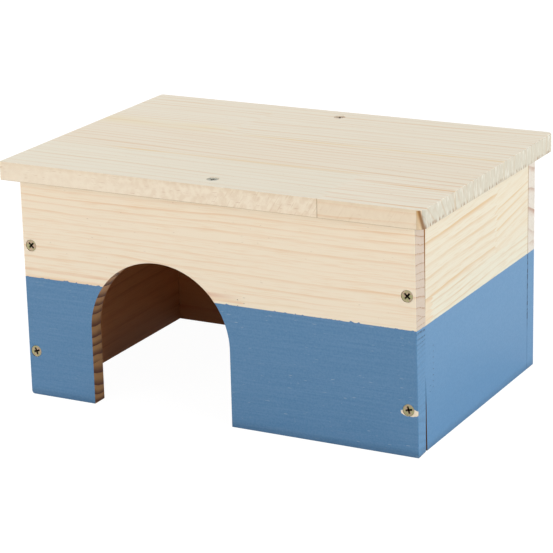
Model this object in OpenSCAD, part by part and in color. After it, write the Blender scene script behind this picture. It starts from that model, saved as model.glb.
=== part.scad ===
// Guinea pig house: four pine walls with no floor, under a flat roof that overhangs them all
// round. The front has an arched doorway. The boards are glued up from finger-jointed staves,
// butted at the corners and held by countersunk wood screws. The lower part is painted blue.
// The origin is on the ground, in the middle of the house. +X runs along the front to the
// right, +Y runs from the front to the back, and +Z is up.

/* [Walls] */
// Length of the front and back panels
wall_length = 263; // [230:1:400]
// Depth of the house over the front and back panels
wall_depth = 176; // [150:1:300]
// Height of the walls
wall_height = 138.5; // [115:0.5:220]
// Thickness of the wall boards
wall_thickness = 11; // [9:0.5:18]

/* [Roof] */
// Thickness of the roof board
roof_thickness = 11.5; // [8:0.5:18]
// How far the roof reaches past the walls on every side
roof_overhang = 8.5; // [4:0.5:30]
// Radius of the roof's four upright corners
roof_corner = 2; // [1:0.5:10]

/* [Doorway] */
// Width of the doorway
door_width = 95.5; // [60:0.5:120]
// Height of the doorway at the crown of its round arch
door_height = 95.5; // [70:0.5:105]
// Middle of the doorway, from the left end of the front panel
door_centre = 94; // [75:0.5:130]

/* [Staves] */
// Width of the staves that the boards are glued up from
stave_width = 57; // [45:1:70]
// Width of the bottom stave of the front and back panels
bottom_stave_width = 26; // [10:0.5:40]
// Width of the bottom stave of the side panels
side_bottom_stave_width = 34; // [10:0.5:40]
// Length of the fingers that join two staves end to end
finger_length = 5.5; // [3:0.5:10]
// Distance from one finger to the next
finger_pitch = 3.5; // [2.5:0.5:7]
// Finger joint in the roof's front stave, from the roof's left end
roof_joint = 214; // [40:1:230]
// Finger joint in the roof's third stave, from the roof's left end
roof_rear_joint = 94; // [40:1:230]
// Finger joint beside the doorway, from the doorway's right jamb
front_joint = 8.5; // [5:0.5:60]
// Finger joint in the right panel's second stave, from the panel's front end
side_front_joint = 8.5; // [5:0.5:60]
// Finger joint in the right panel's third stave, from the panel's front end
side_joint = 103; // [20:1:115]

/* [Screws] */
// Length of a screw
screw_length = 35; // [25:1:45]
// Outer diameter of a screw's thread
thread_diameter = 3.5; // [3:0.1:4]
// Diameter of a screw's core, between its threads
core_diameter = 2.2; // [1.8:0.1:2.6]
// Distance from one thread to the next
thread_pitch = 1.8; // [1.2:0.1:2.4]
// Length of a screw's point
point_length = 3.5; // [2:0.5:6]
// Diameter of the plain shank under the head
shank_diameter = 2.6; // [2.4:0.1:2.9]
// Depth at which the plain shank ends and the thread starts, from the top of the head
shank_length = 13; // [8:0.5:20]
// Diameter of a screw's countersunk head
head_diameter = 7.5; // [6.5:0.1:8.5]
// Height of the upright rim round a head
head_rim = 0.4; // [0.2:0.1:0.8]
// Distance across the driver cross in a head
cross_span = 4.4; // [3.6:0.1:5]
// Width of one slot of the driver cross
cross_width = 1; // [0.7:0.1:1.4]
// Depth of the driver cross
cross_depth = 2.2; // [1.4:0.1:2.8]
// Height of the lower wall screws above the ground
low_screw_height = 28.5; // [15:0.5:45]
// Height of the upper wall screws above the ground
high_screw_height = 96.5; // [60:0.5:105]

/* [Fits] */
// Depth of a screw head's top below the face of the board
head_sink = 0.2; // [0:0.05:0.8]
// Gap all round a thread in the bore of the outer board
bore_clearance = 0.15; // [0.05:0.05:0.4]
// Gap between a screw and the wood that it is driven into
wood_clearance = 0.02; // [0.01:0.01:0.1]

/* [Hidden] */
pine = "#EBD9BC";
blue_paint = "#5C81A6";
zinc = "#B5AE7C";

// How far a cutter runs past the face that it opens
cut_past = 1;

// Half sizes of the walls and the roof, and the length of a side panel between front and back
wall_x = wall_length / 2;
wall_y = wall_depth / 2;
roof_x = wall_x + roof_overhang;
roof_y = wall_y + roof_overhang;
side_length = wall_depth - 2 * wall_thickness;

// The doorway's half circle springs from the top of its straight jambs
door_radius = door_width / 2;
door_spring = door_height - door_radius;

// Screw heads taper at 45 degrees from the rim to the shank
head_height = head_rim + (head_diameter - shank_diameter) / 2;
thread_count = floor((screw_length - point_length - shank_length) / thread_pitch);

// Wall screws sit over the middle of a side panel's end, as [x, z], and roof screws over the
// middle of the front and back panels' top edges, as y
screw_x = wall_x - wall_thickness / 2;
screw_y = wall_y - wall_thickness / 2;
wall_screws = [for (x = [-screw_x, screw_x], z = [high_screw_height, low_screw_height]) [x, z]];
roof_screws = [-screw_y, screw_y];

// Angle at which each driver cross came to rest
front_turns = [45, 20, 48, 14];
back_turns = [33, 62, 8, 51];
roof_turns = [0, 25];

// Rows of staves count from the ground up in a wall, and from the front to the back in the roof.
// What is left over for the last row is at least the narrowest strip that is worth gluing on.
narrowest_stave = 2;
last_roof_row = ceil((2 * roof_y - narrowest_stave) / stave_width) - 1;
function last_wall_row(bottom) = ceil((wall_height - bottom - narrowest_stave) / stave_width);
function wall_row_low(row, bottom) = row == 0 ? 0 : bottom + (row - 1) * stave_width;
function wall_row_high(row, bottom) =
    row == last_wall_row(bottom) ? wall_height : wall_row_low(row + 1, bottom);
function roof_row_low(row) = row * stave_width;
function roof_row_high(row) = row == last_roof_row ? 2 * roof_y : roof_row_low(row + 1);

// The two lowest rows of a wall are painted, and what stands over them is bare
painted_rows = 2;

// The finger joint in each row of the roof, the front panel and the right panel. A row that has
// none, or is past the end of its list, is whole.
roof_joints = [roof_joint, undef, roof_rear_joint];
front_joints = [undef, door_centre + door_radius + front_joint];
side_joints = [undef, side_front_joint, side_joint];
function joint_in(row, joints) = row < len(joints) ? joints[row] : undef;

// A stave is [name, row, start, end]. Each end is [place along the board, true for a finger joint].
function sawn(at) = [at, false];
function fingered(at) = [at, true];
function whole(row, length) = [str("stave_", row + 1), row, sawn(0), sawn(length)];
function piece(row, side, start, end) = [str("stave_", row + 1, "_", side), row, start, end];

// A row that is whole, or is joined end to end at one place
function joined_row(row, length, joints, first, second) =
    let (joint = joint_in(row, joints))
    is_undef(joint) ? [whole(row, length)] : [
        piece(row, first, sawn(0), fingered(joint)),
        piece(row, second, fingered(joint), sawn(length))
    ];

// A row of the front panel: the doorway parts each one that it cuts right through
function front_row(row) =
    let (joint = joint_in(row, front_joints))
    wall_row_high(row, bottom_stave_width) > door_height ? [whole(row, wall_length)] :
    is_undef(joint) ? [
        piece(row, "left", sawn(0), sawn(door_centre)),
        piece(row, "right", sawn(door_centre), sawn(wall_length))
    ] : [
        piece(row, "left", sawn(0), sawn(door_centre)),
        piece(row, "centre", sawn(door_centre), fingered(joint)),
        piece(row, "right", fingered(joint), sawn(wall_length))
    ];

// The staves of each board
front_rows = [0 : last_wall_row(bottom_stave_width)];
side_rows = [0 : last_wall_row(side_bottom_stave_width)];
roof_rows = [0 : last_roof_row];
front_staves = [for (row = front_rows) each front_row(row)];
back_staves = [for (row = front_rows) whole(row, wall_length)];
left_staves = [for (row = side_rows) whole(row, side_length)];
right_staves = [for (row = side_rows) each joined_row(row, side_length, side_joints, "front", "rear")];
roof_staves = [for (row = roof_rows) each joined_row(row, 2 * roof_x, roof_joints, "left", "right")];

function stave_node(board, stave) = str(board, "_", stave[0]);
function screw_node(board, i) = str(board, "_screw_", i + 1);

// Points across one end of a stave, from its low edge to its high edge: a straight cut, or a
// zigzag of fingers
function end_points(end, low, high) =
    let (steps = 2 * max(1, round((high - low) / finger_pitch)))
    !end[1] ? [[end[0], low], [end[0], high]] :
    [for (k = [0 : steps])
        [end[0] + (k % 2 - 0.5) * finger_length, low + (high - low) * k / steps]];

function reversed(points) = [for (i = [len(points) - 1 : -1 : 0]) points[i]];

// A stave lying flat, its length along X, between two edges of its board
module flat_stave(stave, low, high, thickness)
    linear_extrude(thickness)
        polygon(concat(end_points(stave[3], low, high), reversed(end_points(stave[2], low, high))));

// A stave of a wall whose bottom stave is that wide
module wall_stave(stave, bottom)
    flat_stave(stave, wall_row_low(stave[1], bottom), wall_row_high(stave[1], bottom), wall_thickness);

module wall_colour(stave)
    color(stave[1] < painted_rows ? blue_paint : pine) children();

// A screw's shaft below its head, as [radius, height]: plain shank, thread rings and point
function shaft_points(clearance) = [
    [shank_diameter / 2 + clearance, -head_height],
    [shank_diameter / 2 + clearance, -shank_length],
    [core_diameter / 2 + clearance, -shank_length],
    for (i = [0 : thread_count - 1], step = [-1 : 1]) [
        (step == 0 ? thread_diameter : core_diameter) / 2 + clearance,
        -shank_length - (i + 0.5 + step / 4) * thread_pitch
    ],
    [core_diameter / 2 + clearance, point_length - screw_length],
    [0, -screw_length - clearance]
];

// A slotted cross that narrows towards its foot, to be cut in the top of a head
module driver_cross() {
    slope = (cross_span / 2 - cross_width) / cross_depth;
    mouth_radius = cross_span / 2 + slope * cut_past;
    height = cross_depth + cut_past;
    translate([0, 0, -cross_depth]) intersection() {
        cylinder(h = height, r1 = cross_width, r2 = mouth_radius, $fn = 48);
        union() for (a = [0, 90]) rotate(a)
            translate([-mouth_radius, -cross_width / 2, 0])
                cube([2 * mouth_radius, cross_width, height]);
    }
}

// One screw, pointing down, with the top of its head at z = 0
module screw(turn)
    color(zinc) difference() {
        rotate_extrude($fn = 48) polygon(concat(
            [[0, 0], [head_diameter / 2, 0], [head_diameter / 2, -head_rim]],
            shaft_points(0)
        ));
        rotate(turn) driver_cross();
    }

// The hole for one screw: a countersink and a clear bore through the outer board, and the
// thread's own form in the board behind it
module screw_hole(outer_thickness) {
    seat = head_diameter / 2 + wood_clearance;
    bore = thread_diameter / 2 + bore_clearance;
    inner_face = head_sink - outer_thickness;
    rotate_extrude($fn = 48) polygon([
        [0, head_sink + cut_past], [seat, head_sink + cut_past], [seat, -head_rim],
        [bore, bore - seat - head_rim], [bore, inner_face], [0, inner_face]
    ]);
    rotate_extrude($fn = 48)
        polygon(concat([[0, -head_height]], shaft_points(wood_clearance)));
}

// What stands on a screw's axis, with its head outwards
module at_front(place)
    translate([place[0], head_sink - wall_y, place[1]]) rotate([90, 0, 0]) children();
module at_back(place)
    translate([place[0], wall_y - head_sink, place[1]]) rotate([-90, 0, 0]) children();
module at_roof(y)
    translate([0, y, wall_height + roof_thickness - head_sink]) children();

module front_holes() for (place = wall_screws) at_front(place) screw_hole(wall_thickness);
module back_holes() for (place = wall_screws) at_back(place) screw_hole(wall_thickness);
module roof_holes() for (y = roof_screws) at_roof(y) screw_hole(roof_thickness);

module front_screw(i) at_front(wall_screws[i]) screw(front_turns[i]);
module back_screw(i) at_back(wall_screws[i]) screw(back_turns[i]);
module roof_screw(i) at_roof(roof_screws[i]) screw(roof_turns[i]);

// The doorway's cutter, lying flat as a stave does: straight jambs under a half circle
module doorway()
    translate([door_centre, 0, -cut_past]) linear_extrude(wall_thickness + 2 * cut_past) {
        translate([-door_radius, -cut_past]) square([door_width, door_spring + cut_past]);
        translate([0, door_spring]) circle(door_radius, $fn = 96);
    }

module front_stave(stave)
    wall_colour(stave) difference() {
        translate([-wall_x, wall_thickness - wall_y, 0]) rotate([90, 0, 0]) difference() {
            wall_stave(stave, bottom_stave_width);
            doorway();
        }
        front_holes();
        roof_holes();
    }

module back_stave(stave)
    wall_colour(stave) difference() {
        translate([-wall_x, wall_y, 0]) rotate([90, 0, 0]) wall_stave(stave, bottom_stave_width);
        back_holes();
        roof_holes();
    }

// A side panel stands between the front and back panels, with its left face at x
module side_stave(stave, x)
    wall_colour(stave) difference() {
        translate([x, -side_length / 2, 0]) rotate([90, 0, 90])
            wall_stave(stave, side_bottom_stave_width);
        front_holes();
        back_holes();
    }

module left_stave(stave) side_stave(stave, -wall_x);
module right_stave(stave) side_stave(stave, wall_x - wall_thickness);

// A square corner less its quarter round, to be taken off the roof
module corner_waste()
    translate([-roof_corner, -roof_corner]) difference() {
        square(roof_corner + cut_past);
        circle(roof_corner, $fn = 48);
    }

module roof_stave(stave)
    color(pine) difference() {
        translate([-roof_x, -roof_y, wall_height])
            flat_stave(stave, roof_row_low(stave[1]), roof_row_high(stave[1]), roof_thickness);
        for (mx = [0, 1], my = [0, 1]) mirror([mx, 0, 0]) mirror([0, my, 0])
            translate([roof_x, roof_y, wall_height - cut_past])
                linear_extrude(roof_thickness + 2 * cut_past) corner_waste();
        roof_holes();
    }

for (stave = roof_staves)
    roof_stave(stave);
for (stave = front_staves)
    front_stave(stave);
for (stave = back_staves)
    back_stave(stave);
for (stave = left_staves)
    left_stave(stave);
for (stave = right_staves)
    right_stave(stave);
for (i = [0 : len(wall_screws) - 1]) {
    front_screw(i);
    back_screw(i);
}
for (i = [0 : len(roof_screws) - 1])
    roof_screw(i);
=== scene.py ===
# Guinea pig house: pine boards glued up from finger-jointed staves and screwed together, bare above
# and painted blue below. Lengths are in metres, and in millimetres where a name ends in _mm.
import math
import bmesh
import bpy
from mathutils import Euler, Matrix, Vector


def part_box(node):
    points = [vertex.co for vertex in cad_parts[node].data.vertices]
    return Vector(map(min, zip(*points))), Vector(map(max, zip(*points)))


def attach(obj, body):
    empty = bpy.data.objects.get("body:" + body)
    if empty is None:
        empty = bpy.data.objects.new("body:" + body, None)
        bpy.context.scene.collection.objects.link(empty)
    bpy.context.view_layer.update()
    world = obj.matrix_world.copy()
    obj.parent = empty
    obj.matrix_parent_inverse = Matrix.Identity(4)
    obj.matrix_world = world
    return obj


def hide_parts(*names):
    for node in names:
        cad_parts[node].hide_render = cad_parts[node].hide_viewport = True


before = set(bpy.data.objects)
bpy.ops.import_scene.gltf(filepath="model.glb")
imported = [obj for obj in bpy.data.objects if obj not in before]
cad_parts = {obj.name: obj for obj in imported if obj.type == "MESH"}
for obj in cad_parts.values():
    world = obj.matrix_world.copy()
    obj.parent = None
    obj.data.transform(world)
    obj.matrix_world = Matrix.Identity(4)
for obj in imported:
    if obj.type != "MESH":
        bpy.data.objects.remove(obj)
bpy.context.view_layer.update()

# Side panels. Each is a pine board of three rows of staves glued edge to edge, planed and sanded, and
# it stands between the front and back panels with its ends butted against them. Two rows of the right
# one are finger jointed. The outside is painted blue below a masked line.

# A stave's axes are its grain, its width and its thickness, as places in (x, y, z)
side_axes = (1, 2, 0)
arris = 0.0004
arris_steps = 2
sharp_turn = math.radians(15)
finger_pitch = 0.0035
blunt_tip = 0.0009


def finger_line(joint, length, low, high, way, holes=(0, 0)):
    """Points up one side of a finger joint across the grain, for the stave that lies before it (way
    1) or after it (way -1). Between the two places of holes the stave's own finger tips are blunt,
    which leaves pinholes."""
    steps = 2 * round((high - low) / finger_pitch)
    step = (high - low) / steps
    half_tip = blunt_tip / length * step
    points = [(joint, low)]
    for k in range(steps):
        side = 1 if k % 2 else -1
        along = joint + side * length / 2
        across = low + (k + 0.5) * step
        if side == way and holes[0] < across < holes[1]:
            along -= way * blunt_tip
            points += [(along, across - half_tip), (along, across + half_tip)]
        else:
            points.append((along, across))
    return points + [(joint, high)]


def turned(profile, steps):
    """A closed form turned on the z axis, from points (radius, height) that start and end on it."""
    form = bmesh.new()
    points = [form.verts.new((radius, 0, height)) for radius, height in profile]
    lines = [form.edges.new(pair) for pair in zip(points, points[1:])]
    bmesh.ops.spin(form, geom=points + lines, axis=(0, 0, 1), angle=2 * math.pi, steps=steps)
    bmesh.ops.remove_doubles(form, verts=form.verts, dist=1e-7)
    bmesh.ops.recalc_face_normals(form, faces=form.faces)
    return form


# The screws' heads point out of the front, the back and the roof, and four of them were driven a little
# off their line. A hole has a countersunk seat and a clear bore for the whole length of its screw.
head_points = {"front": Vector((0, -1, 0)), "back": Vector((0, 1, 0)), "roof": Vector((0, 0, 1))}
driven_off = {"front_screw_2": -0.0005, "front_screw_3": -0.0007, "front_screw_4": -0.0003,
              "roof_screw_1": -0.0005}
screw_nodes = sorted(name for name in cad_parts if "_screw_" in name)
head_radius = 0.00345
head_rim = 0.0004
head_sides = 40
screw_length = 0.035
hole_gap = 0.00025
bore_radius = 0.0019


def head_place(node):
    """The middle of a screw head's top, and the way that it points."""
    low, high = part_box(node)
    out = head_points[node.split("_")[0]]
    half = (high - low) / 2
    place = low + half + half * out
    place.x += driven_off.get(node, 0)
    return place, out


def set_out(name, data):
    """An object of that name in the scene."""
    piece = bpy.data.objects.new(name, data)
    bpy.context.scene.collection.objects.link(piece)
    return piece


def drill():
    """One mesh that cuts the holes of all the screws."""
    seat = head_radius + hole_gap
    end = -screw_length - hole_gap
    profile = [(0, head_rim), (seat, head_rim), (seat, -head_rim),
               (bore_radius, bore_radius - seat - head_rim), (bore_radius, end), (0, end)]
    bit = turned(profile, head_sides)
    mesh = bpy.data.meshes.new("drill")
    for node in screw_nodes:
        place, out = head_place(node)
        hole = bit.copy()
        turn = out.to_track_quat("Z", "Y").to_matrix().to_4x4()
        bmesh.ops.transform(hole, verts=hole.verts, matrix=Matrix.Translation(place) @ turn)
        hole.from_mesh(mesh)
        hole.to_mesh(mesh)
        hole.free()
    bit.free()
    return set_out("drill", mesh)


drill_tool = drill()


def bake(piece, modifier):
    """Keep what a modifier makes of a piece, and take the modifier away."""
    bare = piece.data
    made = piece.evaluated_get(bpy.context.evaluated_depsgraph_get())
    piece.data = bpy.data.meshes.new_from_object(made)
    piece.modifiers.remove(modifier)
    bpy.data.meshes.remove(bare)
    piece.data.name = piece.name


def saw_stave(name, chains, axes, low, high, lean=None):
    """A stave of that outline, from low to high through its thickness, with its free edges eased.

    The outline runs round in chains, each a list of points (along the grain, across it) and whether
    the chain is a free edge of the board, which is eased on both faces, or on the low one if it says
    "low". A chain ends where the next one starts. A lean gives how far a point stands off along the
    grain, on the low face or not.
    """
    corners = [(point, free) for points, free in chains for point in points]
    count = len(corners)
    form = bmesh.new()
    faces = []
    for depth in (low, high):
        ring = []
        for (along, across), _ in corners:
            place = Vector()
            place[axes[0]] = along + (lean(along, across, depth == low) if lean else 0)
            place[axes[1]] = across
            place[axes[2]] = depth
            ring.append(form.verts.new(place))
        form.faces.new(ring)
        faces.append(ring)
    lower, upper = faces
    for i in range(count):
        form.faces.new((lower[i - 1], lower[i], upper[i], upper[i - 1]))
    eased = []
    for i in range(count):
        before, here, after = (Vector(corners[k % count][0]) for k in (i - 1, i, i + 1))
        if corners[i][1]:
            rings = faces[:1] if corners[i][1] == "low" else faces
            eased += [form.edges.get((ring[i], ring[(i + 1) % count])) for ring in rings]
            if corners[i - 1][1] and (here - before).angle(after - here) > sharp_turn:
                eased.append(form.edges.get((lower[i], upper[i])))
    bmesh.ops.recalc_face_normals(form, faces=form.faces)
    bmesh.ops.bevel(form, geom=eased, offset=arris, segments=arris_steps, profile=0.5, affect="EDGES")
    mesh = bpy.data.meshes.new(name)
    form.to_mesh(mesh)
    form.free()
    piece = set_out(name, mesh)
    holes = piece.modifiers.new("holes", "BOOLEAN")
    holes.operation = "DIFFERENCE"
    holes.solver = "EXACT"
    holes.object = drill_tool
    bake(piece, holes)
    form = bmesh.new()
    form.from_mesh(piece.data)
    for edge in form.edges:
        edge.smooth = edge.calc_face_angle(math.pi) < sharp_turn
    for face in form.faces:
        face.smooth = True
    form.to_mesh(piece.data)
    form.free()
    return piece


def linear(code):
    """The linear colour of an sRGB hex code."""
    parts = [int(code[i:i + 2], 16) / 255 for i in (1, 3, 5)]
    return (*(p / 12.92 if p <= 0.04045 else ((p + 0.055) / 1.055) ** 2.4 for p in parts), 1.0)


# How much of a face's normal lies along an axis
barely, edge_on, partly, mostly, squarely = 0.2, 0.3, 0.5, 0.7, 0.98


def lay_in_log(mesh, axes, start_mm, pith_mm, slope, ring_mm, late_share, early, late, end_shade=0.0,
               end_tones=None, sweep_mm=None):
    """Give a stave's points their place in the log, along the trunk and across it from the pith, and
    the stave's rings: how wide, how much of each is late wood, how grey its sawn ends are (which also
    sets how deep the painted shade on its inside is), and both tones, which may be others at the ends.
    A sweep in the trunk starts at one place, and rises by so much over about that reach."""
    log = mesh.attributes.new("log", "FLOAT_VECTOR", "POINT")
    for vertex, entry in zip(mesh.vertices, log.data):
        along, across, through = (1000 * vertex.co[axis] for axis in axes)
        if sweep_mm:
            begin, rise, reach = sweep_mm
            across -= rise * (1 - math.exp(-max(along - begin, 0) / reach))
        entry.vector = (along + start_mm, across - slope * along - pith_mm[0], through - pith_mm[1])
    rings = mesh.attributes.new("rings", "FLOAT_VECTOR", "POINT")
    rings.data.foreach_set("vector", [ring_mm, late_share, end_shade] * len(mesh.vertices))
    for name, code, end_code in zip(("early", "late"), (early, late), end_tones or (early, late)):
        tone = mesh.attributes.new(name, "FLOAT_COLOR", "FACE")
        for face, entry in zip(mesh.polygons, tone.data):
            at_end = abs(face.normal[axes[0]]) > mostly
            entry.color = linear(end_code if at_end else code)


def mark_faces(mesh, mark, holds):
    """A mark on each face, 1 where the test holds for its normal and centre."""
    marks = mesh.attributes.new(mark, "FLOAT", "FACE")
    for face, entry in zip(mesh.polygons, marks.data):
        entry.value = float(holds(face.normal, face.center))


def empty_tree(owner):
    """The node tree of a material or a world, with no nodes in it."""
    owner.use_nodes = True
    owner.node_tree.nodes.clear()
    return owner.node_tree


# The kinds of node that the finishes use most, and the setting of one that steps softly
MATH, MIX, RANGE = "ShaderNodeMath", "ShaderNodeMix", "ShaderNodeMapRange"
VECTOR, SPLIT, NOISE = "ShaderNodeVectorMath", "ShaderNodeSeparateXYZ", "ShaderNodeTexNoise"
MARK = "ShaderNodeAttribute"
softly = {"interpolation_type": "SMOOTHSTEP"}


def add(tree, kind, sockets=(), **settings):
    """A node with its settings. Its sockets come in order, or by name or number, and each takes a
    value, another socket, a node for its first output, or a list of nodes."""
    node = tree.nodes.new(kind)
    for key, value in settings.items():
        setattr(node, key, value)
    in_use = [socket for socket in node.inputs if socket.enabled]
    if isinstance(sockets, dict):
        known = {socket.name: socket for socket in reversed(in_use)}
        known.update(enumerate(node.inputs))
        pairs = [(known[key], value) for key, value in sockets.items()]
    else:
        pairs = zip(in_use, sockets)
    for socket, value in pairs:
        for source in value if isinstance(value, list) else [value]:
            if isinstance(source, bpy.types.Node):
                source = next(output for output in source.outputs if output.enabled)
            if isinstance(source, bpy.types.NodeSocket):
                tree.links.new(source, socket)
            else:
                socket.default_value = source
    return node


def streaks(tree, log, length_mm, width_mm, detail=1.0):
    """Soft streaks of about that length along the grain and that width across it."""
    stretch = (1 / length_mm, 1 / width_mm, 1 / width_mm)
    fitted = add(tree, VECTOR, (log, stretch), operation="MULTIPLY")
    return add(tree, NOISE, {"Vector": fitted, "Scale": 1.0, "Detail": detail})


# Rings wander and ripple along the trunk, and are spread unevenly over runs of years. The late wood of
# a ring is darkest at a share of its width.
wander_mm = 7.0
ripple_mm = 1.4
spread_mm = 9.0
years_mm = 18.18
late_end = 0.94


def pine(name, fibre_mm, fibre_most):
    """Sanded pine: pale early wood, and late wood that darkens towards the end of each ring, with
    fibres of that length and width along the grain, as dark as that, and short resin flecks.

    Returns the material, its log place, the place in a ring from 0 to 1, how grey the ends are, the
    colour and the height.
    """
    material = bpy.data.materials.new(name)
    tree = empty_tree(material)
    log = add(tree, MARK, attribute_name="log").outputs["Vector"]
    rings = add(tree, MARK, attribute_name="rings").outputs["Vector"]
    early = add(tree, MARK, attribute_name="early").outputs["Color"]
    late = add(tree, MARK, attribute_name="late").outputs["Color"]
    ring_mm, late_share, end_shade = add(tree, SPLIT, (rings,)).outputs
    across = add(tree, VECTOR, (log, (0, 1, 1)), operation="MULTIPLY")
    radius = add(tree, VECTOR, (across,), operation="LENGTH").outputs["Value"]
    for noise, most in ((streaks(tree, log, 150, 30), wander_mm), (streaks(tree, log, 34, 7), ripple_mm)):
        radius = add(tree, MATH, (noise, most, radius), operation="MULTIPLY_ADD")
    spread = add(tree, NOISE, {"W": radius, "Scale": 1 / years_mm, "Detail": 0.0}, noise_dimensions="1D")
    grown = add(tree, MATH, (spread, spread_mm, radius), operation="MULTIPLY_ADD")
    counted = add(tree, MATH, (grown, ring_mm), operation="DIVIDE")
    place = add(tree, MATH, (counted,), operation="FRACT")
    ring = add(tree, MATH, (counted,), operation="FLOOR")
    chance = add(tree, "ShaderNodeTexWhiteNoise", {"W": ring}, noise_dimensions="1D")
    late_start = add(tree, MATH, (late_end, late_share), operation="SUBTRACT")
    rise = add(tree, RANGE, (place, late_start, late_end), **softly)
    fall = add(tree, RANGE, (place, late_end, 1.0, 1.0, 0.0), **softly)
    strength = add(tree, RANGE, (chance, 0.0, 1.0, 0.3, 1.0))
    fading = add(tree, RANGE, (streaks(tree, log, 70, 12), 0.3, 0.7, 0.35, 1.0), **softly)
    line = rise
    for limit in (rise, fall, strength, fading):
        line = add(tree, MATH, (line, limit), operation="MULTIPLY")
    fibres = streaks(tree, log, *fibre_mm)
    fibre_share = add(tree, RANGE, (fibres, 0.45, 0.8, 0.0, fibre_most), **softly)
    flecks = add(tree, RANGE, (streaks(tree, log, 3.0, 0.55), 0.76, 0.82, 0.0, 0.6), **softly)
    colour = early
    for share, tone in ((line, late), (fibre_share, late), (flecks, linear("#A87C55"))):
        colour = add(tree, MIX, (share, colour, tone), data_type="RGBA")
    height = add(tree, MATH, (line, 0.5, fibres), operation="MULTIPLY_ADD")
    return material, log, place, end_shade, colour, height


def resin(tree, colour, log, along, across, bands):
    """A colour with resin bands on it. Each has its place across the grain, how far it fades out, its
    two ends along the grain, how strong it is and its tone."""
    fade_in = 0.03
    patchy = add(tree, RANGE, (streaks(tree, log, 45, 6), 0.35, 0.6, 0.5, 1.0), **softly)
    for place, reach, low, high, most, tone in bands:
        off = add(tree, MATH, (across, place), operation="SUBTRACT")
        off = add(tree, MATH, (off,), operation="ABSOLUTE")
        share = add(tree, RANGE, (off, 0.0, reach, most, 0.0), **softly)
        begun = add(tree, RANGE, (along, low, low + fade_in), **softly)
        ended = add(tree, RANGE, (along, high - fade_in, high, 1.0, 0.0), **softly)
        for limit in (begun, ended, patchy):
            share = add(tree, MATH, (share, limit), operation="MULTIPLY")
        colour = add(tree, MIX, (share, colour, linear(tone)), data_type="RGBA")
    return colour


# The front's resin bands lie along its upper glue line, on both sides of the doorway
front_resin = [
    (0.0815, 0.0014, -0.170, -0.050, 0.6, "#DBA06A"),
    (0.0812, 0.0026, -0.035, 0.0245, 0.65, "#D6A483"),
]

# The paint and its faults, with specks drawn coarser than life so that they show, and the bands of
# painted shade on the walls. A pair is two heights, or two places along the front or off the rear
# seam, between which the finish or the painted shade changes.
front_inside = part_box("front_stave_3")[1].y
back_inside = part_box("back_stave_3")[0].y
paint_line = 0.0764
paint_edge = (paint_line - 0.0001, paint_line + 0.0002)
paint_bleed = 0.0010
ragged_mm = 3.846
chip_mm = 2.222
speck_mm = 1.111
flake_off = Vector((0.0008, 0, -0.0013))
flake_reach = (0.0056, 0.0012, 0.0026)
inside_foot_heights = (0.0, 0.03)
slit_light = (0.085, 0.105)
arch_light = (0.055, 0.085)
slit_fill = (0.026, 0.036)
seam_line = (0.0003, 0.0007)
seam_dirt = (0.0006, 0.0011)
worn_along = (-0.09, 0.02)
pore_heights = (0.060, 0.074)
side_low_heights = (0.005, 0.06)
outside_foot_heights = (0.0, 0.006)


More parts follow.
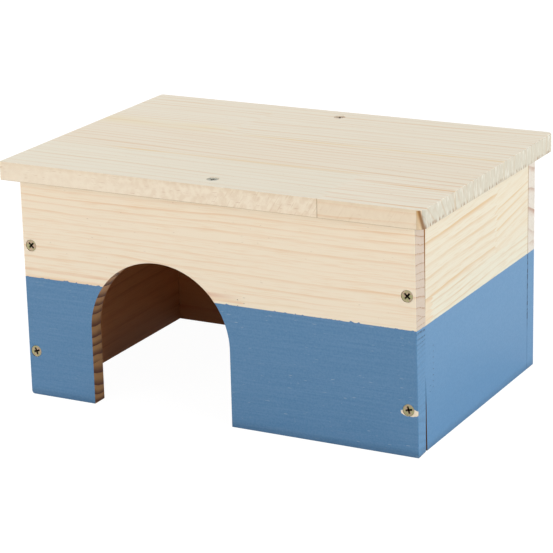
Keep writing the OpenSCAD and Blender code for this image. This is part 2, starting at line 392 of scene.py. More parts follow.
def painted_pine():
    """The walls' finish: bare sanded pine above, and satin blue paint below a masked line, where the
    grain still shows through the thin coat. The doorway's edge is scorched, with painted shade low down
    in it, and a flake of paint is broken away round the lower right screw of the front. There is
    painted shade inside, in the slits and at the foot."""
    material, log, place, end_shade, colour, height = pine("painted_pine", (16, 0.8), 0.35)
    tree = material.node_tree
    end_grain, inside, cut, flank, outside = (
        add(tree, MARK, attribute_name=mark).outputs["Fac"]
        for mark in ("end_grain", "inside", "cut", "flank", "outside"))
    point = add(tree, "ShaderNodeTexCoord").outputs["Object"]
    x, y, up = add(tree, SPLIT, (point,)).outputs
    chips = add(tree, NOISE, {"Vector": point, "Scale": 1000 / chip_mm, "Detail": 1.0})
    specks = add(tree, NOISE, {"Vector": point, "Scale": 1000 / speck_mm, "Detail": 1.0})
    ragged = add(tree, NOISE, {"Vector": point, "Scale": 1000 / ragged_mm, "Detail": 3.0})
    in_front = add(tree, RANGE, (y, front_inside - arris, front_inside, 1.0, 0.0), **softly)
    off_seam = add(tree, MATH, (y, back_inside), operation="SUBTRACT")
    off_seam = add(tree, MATH, (off_seam,), operation="ABSOLUTE")

    # Bare wood, with resin in front and specks along the rings of its sawn ends
    banded = resin(tree, colour, log, x, up, front_resin)
    colour = add(tree, MIX, (in_front, colour, banded), data_type="RGBA")
    sawn = add(tree, MIX, (end_shade, colour, linear("#CAC6CC")), data_type="RGBA", blend_type="MULTIPLY")
    ring_line = add(tree, RANGE, (place, 0.8, 0.92), **softly)
    ring_edge = add(tree, RANGE, (place, late_end, 1.0, 1.0, 0.0), **softly)
    speckled = add(tree, RANGE, (specks, 0.42, 0.6, 0.1, 0.75), **softly)
    for limit in (ring_edge, speckled, end_shade):
        ring_line = add(tree, MATH, (ring_line, limit), operation="MULTIPLY")
    sawn = add(tree, MIX, (ring_line, sawn, linear("#8A6A57")), data_type="RGBA")
    colour = add(tree, MIX, (end_grain, colour, sawn), data_type="RGBA")

    # Painted shade: brown inside and deeper at its foot, dim in the slits and lighter higher up, and
    # low in the scorched doorway. The seams are dark.
    # Painted shade on the inside faces, deeper near the floor
    inside_shade = add(tree, MIX, (end_shade, linear("#F0A66E"), linear("#B07C50")), data_type="RGBA")
    inside_foot_shade = add(tree, RANGE, (up, *inside_foot_heights, 0.45, 0.0), **softly)
    inside_shade = add(tree, MIX, (inside_foot_shade, inside_shade, linear("#5A2E14")), data_type="RGBA")
    shaded_inside = add(tree, MIX, (1.0, colour, inside_shade), data_type="RGBA", blend_type="MULTIPLY")
    # Painted shade in the slits and pinholes, darker low down and lighter higher up
    lit = add(tree, RANGE, (up, *slit_light), **softly)
    dim = add(tree, MIX, (lit, linear("#6A513C"), linear("#B07A3C")), data_type="RGBA")
    # The scorched doorway edge, with painted shade that darkens it low down
    lit = add(tree, RANGE, (up, *arch_light), **softly)
    browned_and_shaded = add(tree, MIX, (lit, linear("#8F6842"), linear("#B88860")), data_type="RGBA")
    scorch = add(tree, RANGE, (place, 0.25, 1.0), **softly)
    burnt = add(tree, MIX, (scorch, browned_and_shaded, linear("#481F0A")), data_type="RGBA")
    seam = add(tree, RANGE, (off_seam, *seam_line, 0.6, 0.0), **softly)
    seam = add(tree, MATH, (seam, outside), operation="MULTIPLY")
    for share, tone in ((inside, shaded_inside), (flank, dim), (cut, burnt), (seam, linear("#9A7448"))):
        colour = add(tree, MIX, (share, colour, tone), data_type="RGBA")

    # Where the paint lies: outside, below a line that bled in front, not in the open part of the slit,
    # and not on the flake
    masked = add(tree, RANGE, (in_front, 0.0, 1.0, 0.15, 1.0))
    bled = add(tree, RANGE, (ragged, 0.5, 0.75, 0.0, paint_bleed), **softly)
    bled = add(tree, MATH, (bled, masked), operation="MULTIPLY")
    edge = add(tree, MATH, (up, bled), operation="SUBTRACT")
    coat = add(tree, RANGE, (edge, *paint_edge, 1.0, 0.0), **softly)
    open_slit = add(tree, RANGE, (up, *slit_fill, 1.0, 0.0), **softly)
    open_slit = add(tree, MATH, (open_slit, flank), operation="MULTIPLY")
    filled = add(tree, MATH, (1.0, open_slit), operation="SUBTRACT")
    flake_place = head_place("front_screw_4")[0] + flake_off
    away = add(tree, VECTOR, (point, flake_place), operation="SUBTRACT")
    flake_scale = tuple(1 / size for size in flake_reach)
    away = add(tree, VECTOR, (away, flake_scale), operation="MULTIPLY")
    reach = add(tree, VECTOR, (away,), operation="LENGTH").outputs["Value"]
    reach = add(tree, MATH, (chips, 0.5, reach), operation="MULTIPLY_ADD")
    kept = add(tree, RANGE, (reach, 1.2, 1.3), **softly)
    for limit in (outside, filled, kept):
        coat = add(tree, MATH, (coat, limit), operation="MULTIPLY")

    # The paint itself: brushed in front and smoother on the sides, thin in places along the front, dirty
    # in the rear seam, and dark in the pores. Painted shade makes it deeper blue low down on the sides,
    # and dark at the foot.
    brush = add(tree, RANGE, (streaks(tree, log, 45, 1.2), 0.3, 0.75, 0.0, 0.5), **softly)
    brush = add(tree, MIX, (masked, 0.38, brush), data_type="FLOAT")
    peel = add(tree, RANGE, (specks, 0.35, 0.65, 0.0, 0.5), **softly)
    uneven = add(tree, MATH, (brush, peel), operation="ADD")
    blue = add(tree, MIX, (uneven, linear("#4B79A0"), linear("#5B83A8")), data_type="RGBA")
    thin = add(tree, RANGE, (streaks(tree, log, 6, 0.6), 0.72, 0.78, 0.0, 0.5), **softly)
    worn = add(tree, RANGE, (x, *worn_along, 0.4, 1.0), **softly)
    dirt = add(tree, RANGE, (chips, 0.42, 0.55, 0.3, 0.9), **softly)
    in_seam = add(tree, RANGE, (off_seam, *seam_dirt, 1.0, 0.0), **softly)
    dirty = add(tree, RANGE, (up, *slit_fill, 0.15, 1.0), **softly)
    pores = add(tree, RANGE, (place, 0.5, 0.85), **softly)
    pitted = add(tree, RANGE, (specks, 0.42, 0.6, 0.2, 0.9), **softly)
    porous = add(tree, RANGE, (up, *pore_heights, 0.2, 0.9), **softly)
    # Painted shade: the sides' blue deepens towards the foot, where it reflects less light
    side_low_shade = add(tree, RANGE, (up, *side_low_heights, 0.14, 0.0), **softly)
    side_low_shade = add(tree, MIX, (in_front, side_low_shade, 0.0), data_type="FLOAT")
    # Painted shade along the foot of the walls
    outside_foot_shade = add(tree, RANGE, (up, *outside_foot_heights, 0.3, 0.0), **softly)
    for tone, share, limits in (
        ("#B9C4C6", thin, (in_front, worn)),
        ("#1B3650", dirt, (in_seam, dirty)),
        ("#0E5C8C", side_low_shade, ()),
        ("#1B3349", pores, (pitted, end_grain, in_front, porous)),
        ("#1B3349", outside_foot_shade, ()),
    ):
        for limit in limits:
            share = add(tree, MATH, (share, limit), operation="MULTIPLY")
        blue = add(tree, MIX, (share, blue, linear(tone)), data_type="RGBA")
    colour = add(tree, MIX, (coat, colour, blue), data_type="RGBA")
    gloss = add(tree, RANGE, (coat, 0.0, 1.0, 0.7, 0.4))
    bump = add(tree, "ShaderNodeBump", {"Height": height, "Strength": 0.25, "Distance": 0.0002})
    surface = add(tree, "ShaderNodeBsdfPrincipled",
                  {"Base Color": colour, "Roughness": gloss, "Normal": bump, "Specular IOR Level": 0.45})
    add(tree, "ShaderNodeOutputMaterial", {"Surface": surface})
    return material


wall_finish = painted_pine()


def wall_stave(node, chains, axes, out, wood, is_cut=None, lean=None):
    """A stave of a wall that faces out, in place of its node. The ends of a side panel are butted, and
    lie in the slits, while those of a front or back panel are part of its outside."""
    low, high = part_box(node)
    piece = saw_stave("pine_" + node, chains, axes, low[axes[2]], high[axes[2]], lean)
    mesh = piece.data
    lay_in_log(mesh, axes, **wood)
    grain = axes[0]
    butted = axes == side_axes
    cut = is_cut or (lambda n, c: False)
    mark_faces(mesh, "cut", cut)
    mark_faces(mesh, "end_grain", lambda n, c: not cut(n, c) and abs(n[grain]) > mostly)
    mark_faces(mesh, "inside", lambda n, c: not cut(n, c) and n.dot(out) < -partly)
    mark_faces(mesh, "flank", lambda n, c: not cut(n, c) and abs(n.dot(out)) < edge_on
               and abs(n[grain]) > barely and (butted or abs(n[grain]) < squarely))
    mark_faces(mesh, "outside", lambda n, c: not cut(n, c) and (
        n.dot(out) > partly or abs(n[grain]) > (squarely if butted else barely)))
    mesh.materials.append(wall_finish)
    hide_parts(node)
    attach(piece, "root")


wall_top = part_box("left_stave_3")[1].z


def plain_chains(node, axes):
    """The outline of a whole stave: bottom, far end, top and near end. Its bottom and its top are free
    where they are the wall's own."""
    low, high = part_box(node)
    near, far = low[axes[0]], high[axes[0]]
    bottom, top = low[axes[1]], high[axes[1]]
    return [([(near, bottom)], bottom < arris), ([(far, bottom)], True),
            ([(far, top)], top > wall_top - arris), ([(near, top)], True)]


left_out = Vector((-1, 0, 0))
left_wood = dict(late_share=0.5, early="#D2CBBA", late="#B2946D")
for node, start_mm, pith_mm, slope, ring_mm in (
    ("left_stave_1", 310, (150, -60), 0, 7),
    ("left_stave_2", 820, (-90, -20), 0.02, 7.5),
    ("left_stave_3", 1340, (10, -190), 0, 8),
):
    wood = dict(left_wood, start_mm=start_mm, pith_mm=pith_mm, slope=slope, ring_mm=ring_mm)
    wall_stave(node, plain_chains(node, side_axes), side_axes, left_out, wood)

# The front end of the right panel is a little out of square: it meets the front panel in the middle,
# and leaves a slit that widens to the foot, and a hair's breadth at the top and along the rear end.
right_out = Vector((1, 0, 0))
# The right panel's wood is darker than the front's: painted shade that offsets the stronger lamp on that
# side
right_wood = dict(late_share=0.5, early="#CDC6B5")
foot_low, foot_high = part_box("right_stave_1")
tip_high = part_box("right_stave_2_front")[1]
waist_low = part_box("right_stave_2_rear")[0]
head_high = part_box("right_stave_3_front")[1]
tail_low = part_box("right_stave_3_rear")[0]
foot_top, waist_top = foot_high.z, tip_high.z
foot_slit, waist_slit, top_slit, rear_slit = 0.0021, 0.0008, 0.0002, 0.0002
touch_low, touch_high = 0.046, 0.106
front_end, rear_end = foot_low.y, foot_high.y - rear_slit
holes_before, holes_after = (foot_top, 0.062), (foot_top, 0.042)


def right_stave(node, chains, **wood):
    """A stave of the right panel."""
    wall_stave(node, chains, side_axes, right_out, dict(right_wood, **wood))


right_stave("right_stave_1", [
    ([(front_end + foot_slit, 0)], True),
    ([(rear_end, 0), (rear_end, foot_top), (front_end + waist_slit, foot_top)], False),
], start_mm=2150, pith_mm=(-70, 60), slope=0.01, ring_mm=7, late="#BFA583")

waist_joint = (tip_high.y + waist_low.y) / 2
waist_length = tip_high.y - waist_low.y
waist_before = finger_line(waist_joint, waist_length, foot_top, waist_top, 1, holes_before)
waist_after = finger_line(waist_joint, waist_length, foot_top, waist_top, -1, holes_after)
right_stave("right_stave_2_front", [
    ([(front_end + waist_slit, foot_top), *waist_before, (front_end, waist_top), (front_end, touch_low)],
     False),
], start_mm=2400, pith_mm=(-40, 160), slope=0, ring_mm=6, early="#CFBFA8", late="#C7A27E")
right_stave("right_stave_2_rear", [
    ([waist_after[0], (rear_end, foot_top), (rear_end, waist_top), *waist_after[:0:-1]], False),
], start_mm=2610, pith_mm=(-60, 190), slope=0.035, ring_mm=4.6, late_share=0.4, late="#C09C74")

head_joint = (head_high.y + tail_low.y) / 2
head_length = head_high.y - tail_low.y
head_before = finger_line(head_joint, head_length, waist_top, wall_top, 1)
head_after = finger_line(head_joint, head_length, waist_top, wall_top, -1)
right_stave("right_stave_3_front", [
    ([(front_end, waist_top), *head_before[:-1]], False),
    ([head_before[-1]], True),
    ([(front_end + top_slit, wall_top), (front_end, touch_high)], False),
], start_mm=3080, pith_mm=(-60, 230), slope=0.018, ring_mm=5.8, late_share=0.6, early="#CEC4B2",
    late="#C39E72")
right_stave("right_stave_3_rear", [
    ([head_after[0], (rear_end, waist_top)], False),
    ([(rear_end, wall_top)], True),
    (head_after[:0:-1], False),
], start_mm=3590, pith_mm=(-90, 140), slope=0.02, ring_mm=6.5, early="#CEC4B2", late="#C7A77D",
    sweep_mm=(1000 * head_joint - 3, 8, 18))

# Front panel. A pine board of three rows of staves, with the round-arched doorway cut out of it by
# a saw that left its edge scorched. It covers the ends of the side panels, so its own end grain
# shows at the corners. A finger joint stands just right of the doorway.
front_axes = (0, 2, 1)
front_out = Vector((0, -1, 0))
front_wood = dict(slope=0.008, late_share=0.42, early="#EFDEC6", late="#E6C199", end_shade=1.0)
left_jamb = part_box("front_stave_1_left")[1].x
right_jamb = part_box("front_stave_1_right")[0].x
door_middle = (left_jamb + right_jamb) / 2
door_radius = (right_jamb - left_jamb) / 2
door_height = 0.0955
door_spring = door_height - door_radius
door_margin = 0.001
foot_margin = 0.0001
arch_steps = 96
worn_corner = 0.002
worn_steps = 4


def is_doorway(normal, centre):
    """Whether a face is in the cut edge of the doorway."""
    off = math.hypot(centre.x - door_middle, max(centre.z - door_spring, 0))
    return off < door_radius + door_margin and abs(normal.y) < mostly and centre.z > foot_margin


def arc(x, y, radius, start, end, steps):
    """Points along an arc about a centre, from one angle to another."""
    angles = [start + (end - start) * k / steps for k in range(steps + 1)]
    return [(x + radius * math.cos(a), y + radius * math.sin(a)) for a in angles]


def arch(start, end):
    """Points along the doorway's arch, by angle from its right springing."""
    steps = round(arch_steps * abs(end - start) / math.pi)
    return arc(door_middle, door_spring, door_radius, start, end, steps)


row_1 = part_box("front_stave_1_left")[1].z
row_2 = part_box("front_stave_2_left")[1].z
cut_angle = math.asin((row_2 - door_spring) / door_radius)
top_low, top_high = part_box("front_stave_3")
left_end, right_end, top = top_low.x, top_high.x, top_high.z
end_foot, end_top, end_inside = 0.00065, -0.00135, -0.0007


def end_lean(along, across, on_face):
    """How far a point stands off at the right end, which is sawn a little out of square: the face from
    foot to top, and the inside at the top, where it shows the end of the side panel behind it."""
    if along < right_end - arris:
        return 0
    if on_face:
        return end_foot + (end_top - end_foot) * across / top
    return end_inside * max(across - row_2, 0) / (top - row_2)


def front_stave(node, chains, **wood):
    """A stave of the front panel."""
    wall_stave(node, chains, front_axes, front_out, dict(front_wood, **wood), is_doorway, end_lean)


worn_arc = arc(left_end + worn_corner, worn_corner, worn_corner, math.pi, 1.5 * math.pi, worn_steps)
front_stave("front_stave_1_left", [
    (worn_arc + [(left_jamb, 0)], True),
    ([(left_jamb, row_1)], False),
    ([(left_end, row_1)], True),
], start_mm=4120, pith_mm=(110, -70), ring_mm=6.2)
front_stave("front_stave_1_right", [
    ([(right_jamb, 0)], True),
    ([(right_end, 0)], "low"),
    ([(right_end, row_1)], False),
    ([(right_jamb, row_1)], True),
], start_mm=4120, pith_mm=(110, -70), ring_mm=6.2)

left_arch = arch(math.pi, math.pi - cut_angle)
right_arch = arch(0, cut_angle)
centre_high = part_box("front_stave_2_centre")[1].x
finger_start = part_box("front_stave_2_right")[0].x
door_joint = (centre_high + finger_start) / 2
door_fingers = centre_high - finger_start
door_holes = (paint_line - arris, row_2)
front_before = finger_line(door_joint, door_fingers, row_1, row_2, 1, door_holes)
front_after = finger_line(door_joint, door_fingers, row_1, row_2, -1, door_holes)
front_stave("front_stave_2_left", [
    ([(left_end, row_1)], False),
    ([(left_jamb, row_1), *left_arch[:-1]], True),
    ([left_arch[-1]], False),
    ([(left_end, row_2)], True),
], start_mm=4630, pith_mm=(190, -72), ring_mm=6.2)
front_stave("front_stave_2_centre", [
    ([(right_jamb, row_1), *front_before], False),
    (right_arch[::-1], True),
], start_mm=4630, pith_mm=(190, -72), ring_mm=6.2)
front_stave("front_stave_2_right", [
    ([front_after[0]], False),
    ([(right_end, row_1)], "low"),
    ([(right_end, row_2), *front_after[:0:-1]], False),
], start_mm=5150, pith_mm=(-60, -70), ring_mm=3, late="#E6CBA8")
crown = arch(math.pi - cut_angle, cut_angle)
front_stave("front_stave_3", [
    ([(left_end, row_2)], False),
    (crown[:-1], True),
    ([crown[-1]], False),
    ([(right_end, row_2)], "low"),
    ([(right_end, top), (left_end, top)], True),
], start_mm=5720, pith_mm=(-20, -111), ring_mm=4.9)

# Back panel. A plain pine board of three staves, as long as the front panel and fixed as it is,
# painted outside below the same line.
back_out = Vector((0, 1, 0))
back_wood = dict(slope=0, late_share=0.4, early="#E6D8C1", late="#DAB892", end_shade=0.35,
                 end_tones=("#D8D0C4", "#B0846C"))
for node, start_mm, pith_mm, ring_mm in (
    ("back_stave_1", 6200, (-80, 60), 9),
    ("back_stave_2", 6730, (-64.5, 25), 13),
    ("back_stave_3", 7290, (-64.5, 21), 13.5),
):
    wood = dict(back_wood, start_mm=start_mm, pith_mm=pith_mm, ring_mm=ring_mm)
    wall_stave(node, plain_chains(node, front_axes), front_axes, back_out, wood)

# Roof. A pine board of four rows of staves, laid flat over the walls and screwed down into the
# front and back panels. It is bare, planed on top, with sawn edges. Its corners are rounded, the
# two right-hand ones the most, and the sander browned the front one of these.
roof_axes = (0, 1, 2)
roof_wood = dict(late_share=0.4, early="#E8DFCE", late="#DCBC98", end_shade=1.0)
corner_steps = 8
corner_radius = {"front_left": 0.001, "front_right": 0.0045, "back_right": 0.0045, "back_left": 0.002}
left_low, left_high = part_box("roof_stave_1_left")
right_low, right_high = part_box("roof_stave_1_right")
third_low, third_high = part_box("roof_stave_3_left")
last_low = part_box("roof_stave_3_right")[0]
back_low, back_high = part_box("roof_stave_4")
west, east, south, north = left_low.x, right_high.x, left_low.y, back_high.y
row_south, row_middle, row_north = left_high.y, third_low.y, back_low.y
roof_low, roof_high = left_low.z, left_high.z
front_joint = (left_high.x + right_low.x) / 2
skew = 0.0008


def east_at(y):
    """The right end at a place along it: it is a little out of square, and shorter at the front."""
    return east - skew * (north - y) / (north - south)


turn_y = south + corner_radius["front_right"]
turn_x = east_at(turn_y)
roof_resin = [
    (0.0182, 0.0020, -0.046, 0.160, 0.85, "#E3C797"),
    (0.0250, 0.015, -0.170, -0.040, 0.5, "#E8D6B0"),
    (-0.0385, 0.0020, -0.110, 0.090, 0.85, "#E4C99C"),
    (-0.0533, 0.0018, 0.075, 0.170, 0.85, "#DDB27E"),
]

# The marks of the saw and the sander, drawn coarser than life so that they show, and a line of
# painted shadow. A pair is two places along the roof, two heights or two distances off the joint,
# between which they change.
saw_mm = (1.5625, 7.69)
fluff_mm = 4
scratch_angle = math.radians(58)
scratched_along = (-0.02, 0.03)
fluffy_along = (-0.10, 0.0)
torn_heights = (roof_low + 0.0008, roof_low + 0.003)
glue_line = (0.0001, 0.0004)
under_shadow_heights = (roof_low, roof_low + 0.0005)
top_edge = (roof_high - 0.0007, roof_high - 0.0001)
turn_end = (turn_y, turn_y + 0.0008)


def bare_pine():
    """The roof's finish: pale sanded pine with close, faint rings, and fuzzy sawn edges."""
    material, log, _, end_shade, colour, height = pine("bare_pine", (80, 3.5), 0.2)
    tree = material.node_tree
    end_grain = add(tree, MARK, attribute_name="end_grain").outputs["Fac"]
    edge = add(tree, MARK, attribute_name="edge").outputs["Fac"]
    point = add(tree, "ShaderNodeTexCoord").outputs["Object"]
    x, y, up = add(tree, SPLIT, (point,)).outputs
    colour = resin(tree, colour, log, x, y, roof_resin)

    # The sawn ends: dull, fuzzy, and torn along the lower edge
    dulled = add(tree, MIX, (0.5, colour, linear("#E6DDCB")), data_type="RGBA")
    sawn = add(tree, MIX, (end_shade, dulled, linear("#D3D3D3")), data_type="RGBA", blend_type="MULTIPLY")
    stretch = (0, 1000 / saw_mm[0], 1000 / saw_mm[1])
    upright = add(tree, VECTOR, (point, stretch), operation="MULTIPLY")
    fuzz = add(tree, NOISE, {"Vector": upright, "Scale": 1.0, "Detail": 2.0})
    fuzzy = add(tree, RANGE, (fuzz, 0.5, 0.72, 0.0, 0.4), **softly)
    torn = add(tree, RANGE, (fuzz, 0.48, 0.4, 0.0, 0.75), **softly)
    lowest = add(tree, RANGE, (up, *torn_heights, 1.0, 0.0), **softly)
    torn = add(tree, MATH, (torn, lowest), operation="MULTIPLY")
    for share, tone in ((fuzzy, "#E6E4DE"), (torn, "#8C6B50")):
        sawn = add(tree, MIX, (share, sawn, linear(tone)), data_type="RGBA")
    colour = add(tree, MIX, (end_grain, colour, sawn), data_type="RGBA")

    # The long edges: paler, with fluff and slanting scratches, and smoother on the right-hand length
    at_front = add(tree, MATH, (y, 0.0), operation="LESS_THAN")
    right_length = add(tree, RANGE, (x, front_joint - arris, front_joint + arris), **softly)
    right_length = add(tree, MATH, (right_length, at_front), operation="MULTIPLY")
    smooth = add(tree, RANGE, (right_length, 0.0, 1.0, 1.0, 0.3))
    slanted = add(tree, "ShaderNodeVectorRotate", {"Vector": log, "Angle": scratch_angle},
                  rotation_type="Y_AXIS")
    scratches = add(tree, RANGE, (streaks(tree, slanted, 10, 0.8, 2.0), 0.55, 0.75), **softly)
    scratched = add(tree, RANGE, (x, *scratched_along, 0.0, 0.8), **softly)
    fluff = add(tree, NOISE, {"Vector": point, "Scale": 1000 / fluff_mm, "Detail": 4.0})
    fluff = add(tree, RANGE, (fluff, 0.35, 0.65), **softly)
    fluffy = add(tree, RANGE, (x, *fluffy_along, 0.25, 0.6), **softly)
    rough = linear("#FFFFFF")
    for tone, share, place in (("#F0E7DF", fluff, fluffy), ("#EADFD4", scratches, scratched)):
        for limit in (place, smooth):
            share = add(tree, MATH, (share, limit), operation="MULTIPLY")
        rough = add(tree, MIX, (share, rough, linear(tone)), data_type="RGBA")
    pale = add(tree, MIX, (right_length, linear("#F4E1C8"), linear("#EBD4B7")), data_type="RGBA")
    planed = add(tree, MIX, (0.7, colour, pale), data_type="RGBA")
    planed = add(tree, MIX, (1.0, planed, rough), data_type="RGBA", blend_type="MULTIPLY")
    dashes = add(tree, RANGE, (streaks(tree, log, 7, 0.6), 0.67, 0.76, 0.0, 0.4), **softly)
    off_joint = add(tree, MATH, (x, front_joint), operation="SUBTRACT")
    off_joint = add(tree, MATH, (off_joint,), operation="ABSOLUTE")
    joint_line = add(tree, RANGE, (off_joint, *glue_line, 0.7, 0.0), **softly)
    joint_line = add(tree, MATH, (joint_line, at_front), operation="MULTIPLY")
    # Painted shadow along the foot of the long edges, where the roof overhangs the walls
    under_shadow = add(tree, RANGE, (up, *under_shadow_heights, 0.95, 0.0), **softly)
    for share, tone in ((dashes, "#BC8C60"), (joint_line, "#A98A62"), (under_shadow, "#A98A62")):
        planed = add(tree, MIX, (share, planed, linear(tone)), data_type="RGBA")
    colour = add(tree, MIX, (edge, colour, planed), data_type="RGBA")

    # The front right corner: tan, then golden high up, then a dark line that leans over
    round_x = add(tree, RANGE, (x, turn_x - corner_radius["front_right"], turn_x))
    round_y = add(tree, RANGE, (y, *turn_end, 1.0, 0.0), **softly)
    burn = add(tree, RANGE, (up, roof_low, roof_high, 0.9, 0.42))
    aside = add(tree, MATH, (round_x, burn), operation="SUBTRACT")
    beside = add(tree, MATH, (aside,), operation="ABSOLUTE")
    ended = add(tree, RANGE, (aside, 0.0, 0.15, 1.0, 0.0), **softly)
    high_up = add(tree, RANGE, (up, roof_low, roof_high), **softly)
    under_top = add(tree, RANGE, (up, *top_edge, 1.0, 0.0), **softly)
    tan = add(tree, RANGE, (round_x, 0.0, 0.12, 0.0, 0.6), **softly)
    golden = add(tree, RANGE, (aside, -0.55, -0.12, 0.0, 0.9), **softly)
    dark = add(tree, RANGE, (beside, 0.04, 0.28, 0.8, 0.0), **softly)
    for tone, share, limits in (
        ("#C4A47C", tan, [ended]),
        ("#C08D4C", golden, [high_up, ended]),
        ("#7A5230", dark, []),
    ):
        for limit in limits + [round_y, under_top]:
            share = add(tree, MATH, (share, limit), operation="MULTIPLY")
        colour = add(tree, MIX, (share, colour, linear(tone)), data_type="RGBA")
    bump = add(tree, "ShaderNodeBump", {"Height": height, "Strength": 0.1, "Distance": 0.0001})
    surface = add(tree, "ShaderNodeBsdfPrincipled",
                  {"Base Color": colour, "Roughness": 0.7, "Normal": bump, "Specular IOR Level": 0.15})
    add(tree, "ShaderNodeOutputMaterial", {"Surface": surface})
    return material


roof_finish = bare_pine()


def roof_stave(node, chains, **wood):
    """A stave of the roof, in place of its node."""
    piece = saw_stave("pine_" + node, chains, roof_axes, roof_low, roof_high)
    mesh = piece.data
    lay_in_log(mesh, roof_axes, **dict(roof_wood, **wood))
    mark_faces(mesh, "end_grain", lambda normal, centre: abs(normal.x) > mostly)
    mark_faces(mesh, "edge", lambda normal, centre: abs(normal.y) > mostly)
    mesh.materials.append(roof_finish)
    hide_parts(node)
    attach(piece, "root")


def corner(which, x, y, start):
    """Points round a corner of the roof, by a quarter turn from that angle."""
    radius = corner_radius[which]
    middle_x = x - math.copysign(radius, x)
    middle_y = y - math.copysign(radius, y)
    return arc(middle_x, middle_y, radius, start, start + math.pi / 2, corner_steps)


roof_fingers = left_high.x - right_low.x
before = finger_line(front_joint, roof_fingers, south, row_south, 1)
after = finger_line(front_joint, roof_fingers, south, row_south, -1)
south_west = corner("front_left", west, south, math.pi)
south_east = corner("front_right", turn_x, south, -math.pi / 2)
north_east = corner("back_right", east, north, 0)
north_west = corner("back_left", west, north, math.pi / 2)
east_1, east_2, east_3 = ((east_at(y), y) for y in (row_south, row_middle, row_north))
west_1, west_2, west_3 = ((west, y) for y in (row_south, row_middle, row_north))
roof_stave("roof_stave_1_left", [
    (south_west, True),
    (before, False),
    ([west_1], True),
], start_mm=8100, pith_mm=(-230, 170), slope=-0.03, ring_mm=6.5, early="#E8E0CF", late="#DEC5A7")
roof_stave("roof_stave_1_right", [
    ([after[0], *south_east], True),
    ([east_1, *after[:0:-1]], False),
], start_mm=8620, pith_mm=(-150, 90), slope=0.01, ring_mm=5.2, early="#EAE1D0", late="#D8A878")
roof_stave("roof_stave_2", [
    ([west_1], False),
    ([east_1], True),
    ([east_2], False),
    ([west_2], True),
], start_mm=9130, pith_mm=(190, 160), slope=-0.035, ring_mm=6, early="#E8DDCB")
third_joint = (third_high.x + last_low.x) / 2
third_before = finger_line(third_joint, roof_fingers, row_middle, row_north, 1)
third_after = finger_line(third_joint, roof_fingers, row_middle, row_north, -1)
roof_stave("roof_stave_3_left", [
    ([west_2, *third_before], False),
    ([west_3], True),
], start_mm=9660, pith_mm=(-190, 150), slope=0, ring_mm=6.2)
roof_stave("roof_stave_3_right", [
    ([third_after[0]], False),
    ([east_2], True),
    ([east_3, *third_after[:0:-1]], False),
], start_mm=9910, pith_mm=(-161.6, 150), slope=0, ring_mm=6.2)
roof_stave("roof_stave_4", [
    ([west_3], False),
    ([east_3, *north_east, *north_west], True),
], start_mm=10170, pith_mm=(242.6, 140), slope=0.004, ring_mm=6.5)

bpy.data.objects.remove(drill_tool)

# Screws. Ten countersunk cross-head wood screws of yellow zinc-plated steel: four through the front
# panel and four through the back panel into the ends of the side panels, and two through the roof.
# One screw is built by nodes and set at every hole, turned as it came to rest.
turns = {"front": (45, 20, 48, 14), "back": (33, 62, 8, 51), "roof": (0, 25)}
roof_grey = 0.8
rusty_screw = "roof_screw_2"
cloud_mm = 2.381
shank_radius = 0.0013
shank_length = 0.013
shank_sides = 24
core_radius = 0.0011
thread_radius = 0.00175
thread_pitch = 0.0018
thread_steps = 20
ridge_sides = 4
point_length = 0.0035
point_radius = 0.1 * core_radius
cross_width = 0.0012
cross_span = 0.0048
cross_depth = 0.0022
recess_depths = (-0.0006, -0.0001)


def zinc():
    """Yellow zinc plating: greenish and pinkish tints, a paler rim, and painted shade in the driver
    cross.
    """
    material = bpy.data.materials.new("yellow_zinc")
    tree = empty_tree(material)
    place = add(tree, MARK, attribute_name="on_screw").outputs["Vector"]
    grey = add(tree, MARK, attribute_name="grey").outputs["Fac"]
    rust = add(tree, MARK, attribute_name="rust").outputs["Fac"]
    point = add(tree, "ShaderNodeTexCoord").outputs["Object"]
    clouds = add(tree, NOISE, {"Vector": point, "Scale": 1000 / cloud_mm, "Detail": 2.0})
    tint = add(tree, RANGE, (clouds, 0.4, 0.62), **softly)
    colour = add(tree, MIX, (tint, linear("#A3A074"), linear("#B59A84")), data_type="RGBA")
    flat = add(tree, VECTOR, (place, (1, 1, 0)), operation="MULTIPLY")
    reach = add(tree, VECTOR, (flat,), operation="LENGTH").outputs["Value"]
    share = add(tree, MATH, (reach, head_radius), operation="DIVIDE")
    rim = add(tree, RANGE, (share, 0.8, 1.0, 0.0, 0.5), **softly)
    rusty = add(tree, RANGE, (share, 0.2, 1.0, 0.5, 0.8), **softly)
    rusty = add(tree, MATH, (rusty, rust), operation="MULTIPLY")
    down = add(tree, SPLIT, (place,)).outputs["Z"]
    # Painted shade deep in the driver cross, which is dull there, not metallic
    deep = add(tree, RANGE, (down, *recess_depths, 1.0, 0.0), **softly)
    middle = add(tree, RANGE, (share, 0.6, 0.7, 1.0, 0.0), **softly)
    recess_shade = add(tree, MATH, (deep, middle), operation="MULTIPLY")
    for cover, tone in ((grey, "#ABACA3"), (rim, "#B8AD88"), (rusty, "#CBAE92"), (recess_shade, "#33271A")):
        colour = add(tree, MIX, (cover, colour, linear(tone)), data_type="RGBA")
    metal = add(tree, RANGE, (recess_shade, 0.0, 1.0, 0.6, 0.0))
    surface = add(tree, "ShaderNodeBsdfPrincipled",
                  {"Base Color": colour, "Metallic": metal, "Roughness": 0.42})
    add(tree, "ShaderNodeOutputMaterial", {"Surface": surface})
    return material


